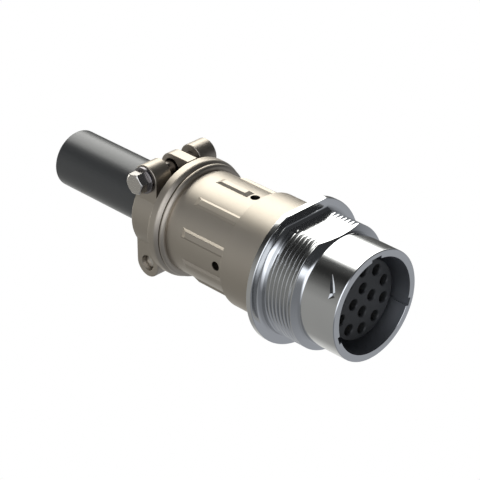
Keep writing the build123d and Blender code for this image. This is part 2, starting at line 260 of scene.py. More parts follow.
def paleFloor():
    # white to the camera and matt to the light
    nodes = Nodes(bpy.data.materials.new("paleFloor"))
    matt = nodes.add("ShaderNodeBsdfDiffuse", {}, {"Color": studio["floorColour"]})
    white = nodes.add("ShaderNodeEmission", {}, {"Color": (1, 1, 1, 1), "Strength": 1.0})
    seen = nodes.add("ShaderNodeLightPath").out("Is Camera Ray")
    either = nodes.add("ShaderNodeMixShader", {}, {0: seen, 1: matt, 2: white})
    nodes.add("ShaderNodeOutputMaterial", {}, {"Surface": either})
    return nodes.owner


def layFloor():
    bm = bmesh.new()
    place = Matrix.Translation((0, 0, studio["floorHeight"] * mm))
    bmesh.ops.create_grid(bm, x_segments=1, y_segments=1, size=studio["floorSize"] * mm / 2, matrix=place)
    mesh = bpy.data.meshes.new("floor")
    bm.to_mesh(mesh)
    bm.free()
    mesh.materials.append(paleFloor())
    floor = bpy.data.objects.new("floor", mesh)
    floor.visible_glossy = False  # the metal mirrors the rings down there too
    bpy.context.scene.collection.objects.link(floor)


bpy.context.scene.view_settings.view_transform = "Standard"
lightWorld()
layFloor()
print("studio lit")

# Materials


paintedShadeInside = {
    # the radius and the station, inside and behind which the plating is painted darker as painted shade in
    # the bores; in the shell it is also rougher
    "shell": (16.4, -0.2),
    "endbell": (16.55, 0),
}
# painted shade: a screw's shank is painted dark where it lies between the saddles
paintedShadeOnShank = (6.6, 6.4)  # how far off the middle a screw's shank turns dark, between the saddles


def brightPlating():
    nodes = Nodes(bpy.data.materials.new("brightPlating"))
    turning = nodes.noise((1, 0.02, 0.02), 5200, 2)
    tarnish = nodes.noise((1, 1, 1), 60)
    plating = nodes.blend(tarnish, (0.59, 0.595, 0.60), (0.63, 0.635, 0.63))
    inside = nodes.within(*paintedShadeInside["shell"])
    return nodes.surface({
        # painted shade: inside the bore the plating is painted darker, and it is rougher there
        "Base Color": nodes.blend(inside, plating, (0.33, 0.34, 0.36)),
        "Metallic": 1.0,
        "Roughness": nodes.between(turning, 0.09, 0.13) + inside * 0.4,
        "Normal": nodes.bump(turning, 0.000004, 0.12),
    })


def satinPlating(name, shadedInside=None):
    nodes = Nodes(bpy.data.materials.new(name))
    grain = nodes.noise((1, 1, 1), 3800, 2)
    tone = nodes.noise((1, 1, 1), 90)
    plating = nodes.blend(tone, (0.41, 0.368, 0.31), (0.44, 0.396, 0.335))
    # painted shade: inside the given bore the plating is painted almost black
    if shadedInside:
        plating = nodes.blend(nodes.within(*shadedInside), plating, (0.10, 0.09, 0.075))
    return nodes.surface({
        "Base Color": plating,
        "Metallic": 1.0,
        "Roughness": nodes.between(grain, 0.38, 0.46),
        "Normal": nodes.bump(grain, 0.000008, 0.35),
    })


def platedSteel():
    nodes = Nodes(bpy.data.materials.new("platedSteel"))
    grain = nodes.noise((1, 1, 1), 2600, 2)
    tone = nodes.noise((1, 1, 1), 240)
    plating = nodes.blend(tone, (0.54, 0.51, 0.47), (0.60, 0.575, 0.535))
    place = nodes.add("ShaderNodeTexCoord").out("Object")
    aside = nodes.add("ShaderNodeSeparateXYZ", {}, {"Vector": place}).out("Y")
    # painted shade on the shank between the saddles
    shank = nodes.step(aside * aside, *((distance * mm) ** 2 for distance in paintedShadeOnShank))
    return nodes.surface({
        "Base Color": nodes.blend(shank, plating, (0.15, 0.135, 0.12)),
        "Metallic": 1.0,
        "Roughness": nodes.between(grain, 0.2, 0.28),
        "Normal": nodes.bump(grain, 0.000006, 0.3),
    })


def darkSteel():
    nodes = Nodes(bpy.data.materials.new("darkSteel"))
    grain = nodes.noise((1, 1, 1), 2600, 2)
    return nodes.surface({
        "Base Color": nodes.blend(grain, (0.20, 0.19, 0.195), (0.25, 0.235, 0.24)),
        "Metallic": 1.0,
        "Roughness": nodes.between(grain, 0.22, 0.3),
    })


def goldFlash():
    nodes = Nodes(bpy.data.materials.new("goldFlash"))
    tone = nodes.noise((1, 1, 1), 700)
    return nodes.surface({
        "Base Color": nodes.blend(tone, (0.78, 0.56, 0.22), (0.84, 0.62, 0.28)),
        "Metallic": 1.0,
        "Roughness": nodes.between(tone, 0.18, 0.28),
    })


def bareCopper():
    nodes = Nodes(bpy.data.materials.new("bareCopper"))
    tone = nodes.noise((1, 1, 1), 1500)
    return nodes.surface({
        "Base Color": nodes.blend(tone, (0.72, 0.36, 0.22), (0.82, 0.46, 0.30)),
        "Metallic": 1.0,
        "Roughness": nodes.between(tone, 0.28, 0.4),
    })


def mouldedInsulator():
    nodes = Nodes(bpy.data.materials.new("mouldedInsulator"))
    grain = nodes.noise((1, 1, 1), 2400)
    tone = nodes.noise((1, 1, 1), 160)
    return nodes.surface({
        "Base Color": nodes.blend(tone, (0.017, 0.018, 0.018), (0.023, 0.024, 0.024)),
        "Roughness": nodes.between(grain, 0.42, 0.54),
        "Normal": nodes.bump(grain, 0.00001, 0.3),
    })


def sealRubber():
    nodes = Nodes(bpy.data.materials.new("sealRubber"))
    grain = nodes.noise((1, 1, 1), 1800)
    return nodes.surface({
        "Base Color": nodes.blend(grain, (0.03, 0.03, 0.03), (0.045, 0.045, 0.045)),
        "Roughness": nodes.between(grain, 0.65, 0.8),
        "Normal": nodes.bump(grain, 0.00002, 0.4),
    })


def jacketRubber():
    nodes = Nodes(bpy.data.materials.new("jacketRubber"))
    drawn = nodes.noise((0.03, 1, 1), 2600)
    grain = nodes.noise((1, 1, 1), 3000)
    return nodes.surface({
        "Base Color": nodes.blend(drawn, (0.025, 0.026, 0.026), (0.031, 0.032, 0.032)),
        "Roughness": nodes.between(grain, 0.32, 0.40),
        "Coat Weight": 0.4,
        "Coat Roughness": 0.3,
        "Normal": nodes.bump(drawn + grain * 0.6, 0.000012, 0.4),
    })


def fillerFibre():
    nodes = Nodes(bpy.data.materials.new("fillerFibre"))
    fibre = nodes.noise((0.2, 1, 1), 1600, 5)
    return nodes.surface({
        "Base Color": nodes.blend(fibre, (0.07, 0.07, 0.065), (0.14, 0.135, 0.125)),
        "Roughness": 0.85,
        "Normal": nodes.bump(fibre, 0.00008, 0.6),
    })


def wireInsulation():
    nodes = Nodes(bpy.data.materials.new("wireInsulation"))
    tone = nodes.noise((1, 1, 1), 900)
    return nodes.surface({
        "Base Color": nodes.blend(tone, (0.72, 0.72, 0.68), (0.78, 0.78, 0.74)),
        "Roughness": nodes.between(tone, 0.38, 0.5),
    })


finishes = {
    "shell_metal": brightPlating(),
    "backshell_metal": satinPlating("satinPlating"),
    "fastener_steel": platedSteel(),
    "contact_brass": goldFlash(),
    "insert_polymer": mouldedInsulator(),
    "seal_rubber": sealRubber(),
    "cable_jacket": jacketRubber(),
    "cable_filler": fillerFibre(),
    "wire_insulation": wireInsulation(),
}
copper = bareCopper()
# the endbell's plating, with painted shade inside its bore, which also shows through its holes
satinPlatingShadedInside = satinPlating("satinPlatingShadedInside", paintedShadeInside["endbell"])
# the spring washers' steel, darker than the screws'
darkWasherSteel = darkSteel()
print("materials made")


def dressSolids():
    # the solids that stay in view or behind other pieces take the finishes as they are
    for part in frame["record"]["subparts"]:
        solid = frame["nodes"][part["node"]]
        if not solid.material_slots:
            solid.data.materials.append(None)
        for held in solid.material_slots:
            held.material = finishes[part["material_slot"]]


dressSolids()

# Making pieces


def asObject(bm, name):
    mesh = bpy.data.meshes.new(name)
    bm.to_mesh(mesh)
    bm.free()
    made = bpy.data.objects.new(name, mesh)
    bpy.context.scene.collection.objects.link(made)
    return made


def dropObject(made):
    mesh = made.data
    bpy.data.objects.remove(made)
    bpy.data.meshes.remove(mesh)


def addPiece(bm, name, slot, replaces=(), material=None, sharpAngle=30):
    bmesh.ops.recalc_face_normals(bm, faces=bm.faces[:])
    for edge in bm.edges:
        if not edge.is_manifold or edge.calc_face_angle() > math.radians(sharpAngle):
            edge.smooth = False
    piece = asObject(bm, name)
    piece.data.materials.append(material or finishes[slot])
    piece.data.shade_smooth()
    normals = piece.modifiers.new("normals", "WEIGHTED_NORMAL")
    normals.keep_sharp = True
    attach(piece, "root")
    if replaces:
        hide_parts(*replaces)
    print("made", name)


def together(*parts):
    # several bmeshes as one
    whole = bmesh.new()
    for part in parts:
        mesh = bpy.data.meshes.new("part")
        part.to_mesh(mesh)
        part.free()
        whole.from_mesh(mesh)
        bpy.data.meshes.remove(mesh)
    return whole


def carve(bm, tool, operation="DIFFERENCE"):
    # cuts a tool away from a piece, or joins them
    body, cutter = asObject(bm, "body"), asObject(tool, "cutter")
    modifier = body.modifiers.new("carve", "BOOLEAN")
    modifier.operation = operation
    modifier.solver = "EXACT"
    modifier.object = cutter
    graph = bpy.context.evaluated_depsgraph_get()
    mesh = bpy.data.meshes.new_from_object(body.evaluated_get(graph), depsgraph=graph)
    result = bmesh.new()
    result.from_mesh(mesh)
    bpy.data.meshes.remove(mesh)
    dropObject(body)
    dropObject(cutter)
    return result


def bevelEdges(bm, edges, width, segments=2):
    bmesh.ops.bevel(
        bm, geom=edges, offset=width * mm, segments=segments, profile=0.5, affect="EDGES",
        material=-1, clamp_overlap=True,
    )


def roundCorners(bm, verts, radius, segments):
    bmesh.ops.bevel(
        bm, geom=verts, offset=radius * mm, segments=segments, profile=0.5, affect="VERTICES",
        material=-1, clamp_overlap=True,
    )


def cutPlane(bm, point, normal, clearAhead=False, clearBehind=False):
    # an edge loop round a piece, with what lies on either side of it taken away if asked
    bmesh.ops.bisect_plane(
        bm, geom=bm.verts[:] + bm.edges[:] + bm.faces[:], dist=weld * mm,
        plane_co=point * mm, plane_no=normal, clear_outer=clearAhead, clear_inner=clearBehind,
    )


def openEdges(bm):
    return [edge for edge in bm.edges if edge.is_boundary]


def closeHoles(bm):
    bmesh.ops.holes_fill(bm, edges=openEdges(bm), sides=0)
    bmesh.ops.recalc_face_normals(bm, faces=bm.faces[:])


def plate(centre, length, height):
    # a flat face that stands upright along the axis
    bm = bmesh.new()
    size = Matrix.Diagonal((length * mm, height * mm, 1, 1))
    place = Matrix.Translation(Vector(centre) * mm) @ Matrix.Rotation(math.radians(90), 4, "X") @ size
    bmesh.ops.create_grid(bm, x_segments=1, y_segments=1, size=0.5, matrix=place)
    return bm


def thicken(bm, thickness):
    # gives a plate its thickness, towards -Y
    grown = bmesh.ops.extrude_face_region(bm, geom=bm.faces[:])["geom"]
    moved = [vert for vert in grown if isinstance(vert, bmesh.types.BMVert)]
    bmesh.ops.translate(bm, vec=-sideways * thickness * mm, verts=moved)
    bmesh.ops.recalc_face_normals(bm, faces=bm.faces[:])


def creases(bm, chosen, angle=30):
    # the sharp edges whose middle, in millimetres, the test accepts
    limit = math.radians(angle)
    return [
        edge for edge in bm.edges
        if edge.is_manifold and edge.calc_face_angle() > limit
        and chosen((edge.verts[0].co + edge.verts[1].co) / 2 / mm)
    ]


def turned(corners, steps=192):
    # spins a closed outline about the axis
    # a corner is a station, a radius and, where it is rounded, the size of its rounding
    bm = bmesh.new()
    verts = [bm.verts.new((corner[0] * mm, 0, corner[1] * mm)) for corner in corners]
    for start, end in zip(verts, verts[1:] + verts[:1]):
        bm.edges.new((start, end))
    for vert, corner in zip(verts, corners):
        if len(corner) > 2:
            roundCorners(bm, [vert], corner[2], 3 if corner[2] < 0.5 else 8)
    bmesh.ops.spin(
        bm, geom=bm.verts[:] + bm.edges[:], cent=(0, 0, 0), axis=axis, angle=fullTurn,
        steps=steps, use_merge=True, use_duplicate=False,
    )
    bmesh.ops.remove_doubles(bm, verts=bm.verts[:], dist=weld * mm)
    bmesh.ops.recalc_face_normals(bm, faces=bm.faces[:])
    return bm


def block(low, high):
    # a box between two corners in millimetres
    low, high = Vector(low) * mm, Vector(high) * mm
    bm = bmesh.new()
    size = high - low
    place = Matrix.Translation((low + high) / 2) @ Matrix.Diagonal((*size, 1))
    bmesh.ops.create_cube(bm, size=1, matrix=place)
    return bm


def rod(centre, direction, radius, length, segments=48):
    # a cylinder about a centre, in millimetres
    bm = bmesh.new()
    turn = Vector(direction).to_track_quat("Z", "Y").to_matrix().to_4x4()
    bmesh.ops.create_cone(
        bm, cap_ends=True, segments=segments, radius1=radius * mm, radius2=radius * mm,
        depth=length * mm, matrix=Matrix.Translation(Vector(centre) * mm) @ turn,
    )
    return bm


def rotated(bm, degrees):
    # the same bmesh, turned about the axis
    turn = Matrix.Rotation(math.radians(degrees), 3, "X")
    bmesh.ops.rotate(bm, verts=bm.verts[:], cent=(0, 0, 0), matrix=turn)
    return bm


def outward(degrees):
    # the direction away from the axis, from +Y towards +Z
    return Vector((0, math.cos(math.radians(degrees)), math.sin(math.radians(degrees))))


def tangentArc(start, end, tangent, steps=8):
    # corners on the arc that leaves start along a tangent and reaches end
    start, end, tangent = Vector(start), Vector(end), Vector(tangent).normalized()
    normal = Vector((-tangent.y, tangent.x))
    chord = end - start
    radius = chord.length_squared / (2 * chord.dot(normal))
    centre = start + normal * radius
    spoke = start - centre
    part = -spoke.angle_signed(end - centre) / steps
    return [tuple(centre + Matrix.Rotation(part * step, 2) @ spoke) for step in range(steps + 1)]


# Receptacle shell

shellLow, shellHigh = reach("receptacle_shell")
shell = {
    "rim": shellHigh.x,
    "rear": shellLow.x,
    "noseRadius": 17.65,
    "rimRound": 0.35,
    "boreRadius": 15.33,
    "boreEdge": 0.12,
    "boreRelief": 0.25,
    "insertFace": -4.8,
    "web": -12.0,
    "webRear": -16.0,
    "insertBore": 12.85,
    "counterbore": 14.45,
    "coneFront": -13.45,
    "coneRear": -14.85,
    "coneBlend": 0.35,
    "coreRadius": 17.3,
    "threadRear": -26.0,
    "threadRadius": 20.0,
    "threadFlat": 18.04,
    "flatFillet": 1.4,
    "flangeFront": -27.4,
    "flangeRear": -29.4,
    "flangeRadius": shellHigh.y,
    "flangeEdge": 0.35,
    "flangeRearEdge": 0.2,
    "flangeFlat": shellHigh.z,
    "spigotRadius": 16.5,
    "spigotEdge": 0.3,
    "keyDepth": 0.87,
    "keys": [(90, 4.0), (90 - 108.5, 2.6), (90 + 108.5, 2.6)],  # angle and width
}
ramp = {
    "count": 3,
    "deepAngle": 148.5,
    "deepStation": -3.7,
    "along": (-2.6, -15.0),  # station and angle from the deep end to the shallow one
    # how far along, the depth, then the floor's two sides and the mouth's, measured towards the rim
    "sections": [
        (-0.28, 0.0, (-1.2, 1.27), (-1.2, 1.27)),
        (0.0, 0.62, (0.25, 0.35), (-0.32, 1.45)),
        (0.72, 0.42, (0.25, 0.35), (-0.15, 0.85)),
        (1.06, 0.02, (0.25, 0.35), (0.15, 0.45)),
    ],
    "above": 0.5,
    "creases": (-9, -1),  # the stations between which the ramps' shallow edges stay sharp
    "creaseAngle": 3,
}


def rampTool(turn):
    # the groove's sections bridged one to the next, drawn out a little above the nose
    station, angle = ramp["along"]
    run = outward(ramp["deepAngle"] + angle + turn) - outward(ramp["deepAngle"] + turn)
    run = (axis * station + run * shell["noseRadius"]).normalized()
    bm = bmesh.new()
    loops = []
    for share, depth, floor, mouth in ramp["sections"]:
        out = outward(ramp["deepAngle"] + angle * share + turn)
        foot = axis * (ramp["deepStation"] + station * share) + out * shell["noseRadius"]
        rimward = run.cross(out)
        flare = ramp["above"] / max(depth, 0.1)
        low, high = (side + (side - below) * flare for below, side in zip(floor, mouth))
        corners = [(floor[0], -depth), (floor[1], -depth), (high, ramp["above"]), (low, ramp["above"])]
        verts = [bm.verts.new((foot + rimward * side + out * height) * mm) for side, height in corners]
        loops.append([bm.edges.new(pair) for pair in zip(verts, verts[1:] + verts[:1])])
    for first, second in zip(loops, loops[1:]):
        bmesh.ops.bridge_loops(bm, edges=first + second)
    closeHoles(bm)
    return bm


def flatTool():
    # the flat beside the flange, with the same fillet as the round part has
    fillet, wide = shell["flatFillet"], shell["flangeRadius"]
    start = shell["flangeFront"] + 2 * hair
    tool = block((start, -wide, shell["threadFlat"]), (start + fillet + past, wide, 2 * wide))
    corner = Vector((start, 0, shell["threadFlat"]))
    foot = creases(tool, lambda spot: (spot - corner).length < near)
    bevelEdges(tool, foot, fillet, 8)
    return tool


def shellBody():
    fillet = shell["threadRear"] - shell["flangeFront"] - hair
    body = turned([
        (shell["rim"], shell["boreRadius"], shell["boreEdge"]),
        (shell["rim"], shell["noseRadius"], shell["rimRound"]),
        (shell["coneFront"], shell["noseRadius"]),
        (shell["coneFront"], shell["coreRadius"]),
        (shell["threadRear"], shell["coreRadius"]),
        (shell["threadRear"], shell["threadRadius"]),
        (shell["flangeFront"], shell["threadRadius"], fillet),
        (shell["flangeFront"], shell["flangeRadius"], shell["flangeEdge"]),
        (shell["flangeRear"], shell["flangeRadius"], shell["flangeRearEdge"]),
        (shell["flangeRear"], shell["spigotRadius"]),
        (shell["rear"], shell["spigotRadius"], shell["spigotEdge"]),
        (shell["rear"], shell["counterbore"]),
        (shell["webRear"], shell["counterbore"]),
        (shell["webRear"], shell["insertBore"]),
        (shell["web"], shell["insertBore"]),
        (shell["web"], shell["boreRadius"] + shell["boreRelief"]),
        (shell["insertFace"], shell["boreRadius"] + shell["boreRelief"]),
        (shell["insertFace"], shell["boreRadius"]),
    ], steps=256)
    body = carve(body, flatTool())
    wide = shell["flangeRadius"] + past
    low = (shell["flangeRear"] - past, -wide, shell["flangeFlat"])
    body = carve(body, block(low, (shell["flangeFront"] + past, wide, wide + past)))
    for step in range(ramp["count"]):
        body = carve(body, rampTool(360 / ramp["count"] * step))
    tools = []
    for angle, width in shell["keys"]:
        slot = block(
            (shell["web"], shell["boreRadius"] - past, -width / 2),
            (shell["rim"] + past, shell["boreRadius"] + shell["keyDepth"], width / 2),
        )
        tools.append(rotated(slot, angle))
    body = carve(body, together(*tools))
    first, last = ramp["creases"]
    deepest = shell["noseRadius"] - past
    for edge in creases(
        body, lambda spot: first < spot.x < last and spot.yz.length > deepest, ramp["creaseAngle"]
    ):
        edge.smooth = False
    addPiece(body, "shellBody", "shell_metal", ["receptacle_shell"])


shellBody()

# Mounting thread

thread = {
    "pitch": 1.5,
    "depth": 0.92,
    "crest": 0.22,
    "root": 0.30,
    "first": -15.1,     # where the groove starts to cut in, behind the cone
    "fadeIn": 0.5,
    "last": -25.15,     # where it has run out, before the flange
    "fadeOut": 0.35,
    "steps": 192,       # round one turn
    "blendLoops": 3,    # each side of the corner between nose and cone
}


def smooth(share):
    # 0 up to 0, 1 from 1 on, and a soft rise between
    share = min(max(share, 0.0), 1.0)
    return share * share * (3 - 2 * share)


def threadLimit(station):
    # the radius of the nose, the cone or the thread's crests at a station
    slope = (shell["threadRadius"] - shell["noseRadius"]) / (shell["coneFront"] - shell["coneRear"])
    behind = shell["coneFront"] - station
    blend = shell["coneBlend"]
    if behind <= -blend:
        return shell["noseRadius"]
    if behind < blend:
        return shell["noseRadius"] + slope * (behind + blend) ** 2 / (4 * blend)
    return min(shell["noseRadius"] + slope * behind, shell["threadRadius"])


def setRadius(vert, radius):
    # moves a vertex straight in or out to a radius about the axis
    share = radius * mm / vert.co.yz.length
    vert.co.y *= share
    vert.co.z *= share


def mountingThread():
    # one turn's outline wound along the axis, then shrunk to the cone and faded at its ends
    crest, root, pitch = thread["crest"], thread["root"], thread["pitch"]
    flank = (pitch - crest - root) / 2
    outline = [
        (0, 0),
        (crest, 0),
        (crest + flank / 2, thread["depth"] / 2),
        (crest + flank, thread["depth"]),
        (crest + flank + root, thread["depth"]),
        (pitch - flank / 2, thread["depth"] / 2),
        (pitch, 0),
    ]
    front, rear = shell["coneFront"] + shell["coneBlend"], shell["threadRear"]
    outer = shell["threadRadius"]
    start = rear - 2 * pitch
    turns = math.ceil((front - start) / pitch) + 2
    bm = bmesh.new()
    verts = [bm.verts.new(((start + along) * mm, (outer - depth) * mm, 0)) for along, depth in outline]
    edges = [bm.edges.new(pair) for pair in zip(verts, verts[1:])]
    bmesh.ops.spin(
        bm, geom=verts + edges, cent=(0, 0, 0), axis=axis, dvec=axis * pitch / thread["steps"] * mm,
        angle=fullTurn * turns, steps=thread["steps"] * turns, use_merge=False, use_duplicate=False,
    )
    bmesh.ops.remove_doubles(bm, verts=bm.verts[:], dist=hair * mm)
    loops = thread["blendLoops"]
    stations = [front - shell["coneBlend"] * step / loops for step in range(2 * loops + 1)]
    for station in stations + [shell["coneRear"]]:
        cutPlane(bm, axis * station, axis)
    for vert in bm.verts:
        station = vert.co.x / mm
        radius = vert.co.yz.length / mm
        cut = smooth((thread["first"] - station) / thread["fadeIn"])
        cut *= smooth((station - thread["last"]) / thread["fadeOut"])
        setRadius(vert, min(outer - (outer - radius) * cut, threadLimit(station)))
    cutPlane(bm, axis * front, axis, clearAhead=True)
    cutPlane(bm, axis * rear, axis, clearBehind=True)
    for station in (front, rear):
        lip = [
            edge for edge in openEdges(bm)
            if all(abs(vert.co.x / mm - station) < hair for vert in edge.verts)
        ]
        for grown in bmesh.ops.extrude_edge_only(bm, edges=lip)["geom"]:
            if isinstance(grown, bmesh.types.BMVert):
                setRadius(grown, shell["coreRadius"])
    bmesh.ops.bridge_loops(bm, edges=openEdges(bm))
    bmesh.ops.recalc_face_normals(bm, faces=bm.faces[:])
    cutPlane(bm, Vector((0, 0, shell["threadFlat"])), (0, 0, 1), clearAhead=True)
    closeHoles(bm)
    addPiece(bm, "mountingThread", "shell_metal", ["receptacle_shell"], sharpAngle=22)


mountingThread()

# Insert with its fourteen holes

insert = {
    "face": -4.85,
    "radius": 12.8,
    "rear": -18.5,
    "flangeFront": -16.05,
    "flangeRadius": 14.4,
    "edge": 0.25,
    "rings": [(9.65, 10, 18.0), (3.95, 4, 0.0)],  # circle, count and first angle
    "entryRadius": 1.65,
    "entryDepth": 3.4,
    "mouth": 0.3,
    "mouthRound": 0.15,
    "barrelRadius": 1.3,
}


def holePlaces():
    for circle, count, first in insert["rings"]:
        for step in range(count):
            yield outward(first + 360 / count * step) * circle


def holeTool():
    # one contact hole's tool about the axis: a bevelled mouth, the entry and the barrel behind it
    front, radius, mouth = insert["face"], insert["entryRadius"], insert["mouth"]
    floor = front - insert["entryDepth"]
    return turned([
        (front + past, 0),
        (front + past, radius + mouth + past),
        (front - mouth, radius, insert["mouthRound"]),
        (floor, radius),
        (floor, insert["barrelRadius"]),
        (insert["rear"] - past, insert["barrelRadius"]),
        (insert["rear"] - past, 0),
    ], steps=40)


def insertFace():
    body = turned([
        (insert["face"], 0),
        (insert["face"], insert["radius"], insert["edge"]),
        (insert["flangeFront"], insert["radius"]),
        (insert["flangeFront"], insert["flangeRadius"]),
        (insert["rear"], insert["flangeRadius"]),
        (insert["rear"], 0),
    ], steps=128)
    tools = []
    for place in holePlaces():
        tool = holeTool()
        bmesh.ops.translate(tool, vec=place * mm, verts=tool.verts[:])
        tools.append(tool)
    addPiece(carve(body, together(*tools)), "insertFace", "insert_polymer", ["front_insert"])


insertFace()

# Endbell

bellLow, bellHigh = reach("endbell")
endbell = {
    "front": bellHigh.x,
    "rear": bellLow.x,
    "bandRadius": bellHigh.y,
    "bandLength": 15.5,
    "bandEdge": 0.8,
    "stepEdge": 0.15,
    "neckRadius": 16.85,
    "shoulderLength": 1.8,
    "shoulderRound": 1.25,
    "shoulderRadius": 18.6,
    "jointWidth": 0.45,
    "jointDepth": 0.8,
    "jointEdge": 0.09,
    "cavity": 13.6,
    "glandBore": 14.6,
    "glandDepth": 14.9,
    "mouthRadius": 17.54,
    "mouthDepth": 1.2,
    "threadBore": 16.55,
    "threadDepth": 12.0,
    "holeRadius": 1.5,
    "holeDepth": 2.2,
    "holeSetback": 3.8,
}
bandRear = endbell["front"] - endbell["bandLength"]
rib = {
    "count": 10,
    "foot": 3.3,
    "top": 1.8,
    "height": 0.65,
    "sink": 0.12,
    "length": 19.2,
    "rearSlope": 2.1,
    "shortStart": 5.5,
    "shortSlope": 1.8,
    "edge": 0.12,
}


def gripRib(angle, footStart, topStart):
    # a rib lying along the neck: a plate drawn out to a narrower, shorter top
    rear = -rib["length"]
    low, high = endbell["neckRadius"] - rib["sink"], endbell["neckRadius"] + rib["height"]
    foot = (footStart, rear, rib["foot"], low)
    top = (topStart, rear + rib["rearSlope"], rib["top"], high)
    bm = bmesh.new()
    for start, end, width, radius in (foot, top):
        for station in (start, end):
            for side in (-0.5, 0.5):
                bm.verts.new(Vector((bandRear + station, radius, side * width)) * mm)
    bmesh.ops.convex_hull(bm, input=bm.verts[:])
    bmesh.ops.dissolve_limit(bm, angle_limit=0.01, verts=bm.verts[:], edges=bm.edges[:])
    crown = [edge for edge in bm.edges if min(vert.co.y for vert in edge.verts) > (low + hair) * mm]
    bevelEdges(bm, crown, rib["edge"])
    return rotated(bm, angle)


def ribbedEndbell():
    front, rear = endbell["front"], endbell["rear"]
    neckRear, neck = rear + endbell["shoulderLength"], endbell["neckRadius"]
    glandFloor, jointFront = rear + endbell["glandDepth"], rear + endbell["jointWidth"]
    threadFloor, mouthFloor = front - endbell["threadDepth"], front - endbell["mouthDepth"]
    top, crest = endbell["shoulderRadius"], endbell["shoulderRound"]
    shoulder = tangentArc((neckRear, top - crest), (neckRear - crest, top), (0, 1))
    body = turned([
        (front, endbell["mouthRadius"]),
        (front, endbell["bandRadius"], endbell["bandEdge"]),
        (bandRear, endbell["bandRadius"], endbell["stepEdge"]),
        (bandRear, neck, endbell["stepEdge"]),
        (neckRear, neck),
        *shoulder,
        (jointFront, top, endbell["jointEdge"]),
        (jointFront, top - endbell["jointDepth"]),
        (rear, top - endbell["jointDepth"]),
        (rear, endbell["glandBore"]),
        (glandFloor, endbell["glandBore"]),
        (glandFloor, endbell["cavity"]),
        (threadFloor, endbell["cavity"]),
        (threadFloor, endbell["threadBore"]),
        (mouthFloor, endbell["threadBore"]),
        (mouthFloor, endbell["mouthRadius"]),
    ])
    place = (bandRear - endbell["holeSetback"], neck, 0)
    holes = [
        rotated(rod(place, sideways, endbell["holeRadius"], 2 * endbell["holeDepth"]), angle)
        for angle in (0, 90, 180, 270)
    ]
    body = carve(body, together(*holes))
    ribs = []
    # the ribs at the top and the bottom are shorter and slope at the front too
    for step in range(rib["count"]):
        angle = 90 + 360 / rib["count"] * step
        if angle % 180 == 90:
            ribs.append(gripRib(angle, -rib["shortStart"], -rib["shortStart"] - rib["shortSlope"]))
        else:
            ribs.append(gripRib(angle, 0, 0))
    addPiece(together(body, *ribs), "ribbedEndbell", "backshell_metal", ["endbell"], satinPlatingShadedInside)


ribbedEndbell()

# Clamp ring with its tongues

clampHigh = reach("clamp_body")[1]
clamp = {
    "front": -72.0,
    "rear": -75.9,
    "ringRadius": 19.35,
    "round": 1.6,
    "lipRadius": 18.6,
    "lipEdge": 0.1,
    "rearEdge": 0.25,
    "bore": 10.4,
    "boreEdge": 0.3,
    "plugFront": clampHigh.x,
    "plugRadius": 14.55,
    "screwStation": -83.1,
    "screwHeight": 14.85,
    "tongueRadius": 4.67,
    "tongueThickness": 4.0,
    "tongueHole": 3.0,
    "tongueEdge": 0.3,
    "tongueFoot": 0.1,  # how far a tongue reaches into the ring
}
roundEnd = 0.999  # of half the width, so that an end's two rounded corners don't meet


def tongue(side):
    # a flat tongue with a round end, above or below the cable
    radius, half = clamp["tongueRadius"], clamp["tongueThickness"] / 2
    height = side * clamp["screwHeight"]
    rear, front = clamp["screwStation"] - radius, clamp["rear"] + clamp["tongueFoot"]
    middle = (rear + front) / 2
    bm = plate((middle, half, height), front - rear, 2 * radius)
    roundCorners(bm, [vert for vert in bm.verts if vert.co.x < middle * mm], radius * roundEnd, 20)
    thicken(bm, 2 * half)
    bm = carve(bm, rod((clamp["screwStation"], 0, height), sideways, clamp["tongueHole"], 3 * half))
    rims = creases(bm, lambda spot: abs(abs(spot.y) - half) < near and spot.x < clamp["rear"])
    bevelEdges(bm, rims, clamp["tongueEdge"], 3)
    return bm


def clampRing():
    front, lip, edge = clamp["front"], clamp["lipRadius"], clamp["lipEdge"]
    crown = tangentArc((front - clamp["round"], clamp["ringRadius"]), (front - edge, lip), (1, 0))
    body = turned([
        *crown,
        (front, lip - edge),
        (front, clamp["plugRadius"]),
        (clamp["plugFront"], clamp["plugRadius"]),
        (clamp["plugFront"], clamp["bore"]),
        (clamp["rear"], clamp["bore"], clamp["boreEdge"]),
        (clamp["rear"], clamp["ringRadius"], clamp["rearEdge"]),
    ])
    addPiece(together(body, tongue(1), tongue(-1)), "clampRing", "backshell_metal", ["clamp_body"])


clampRing()

# Saddles

saddle = {
    "station": clamp["screwStation"],
    "height": clamp["screwHeight"],
    "lug": 4.7,
    "inner": 6.3,
    "outer": 13.0,
    "bulge": 15.05,
    "edge": 0.6,
    "innerEdge": 0.25,
    "cable": 9.66,
    "clearHole": 2.75,
    "tappedHole": 2.53,
    "holeEdge": 0.25,
    "archFoot": 0.5,  # how far the arch reaches into the bar
}


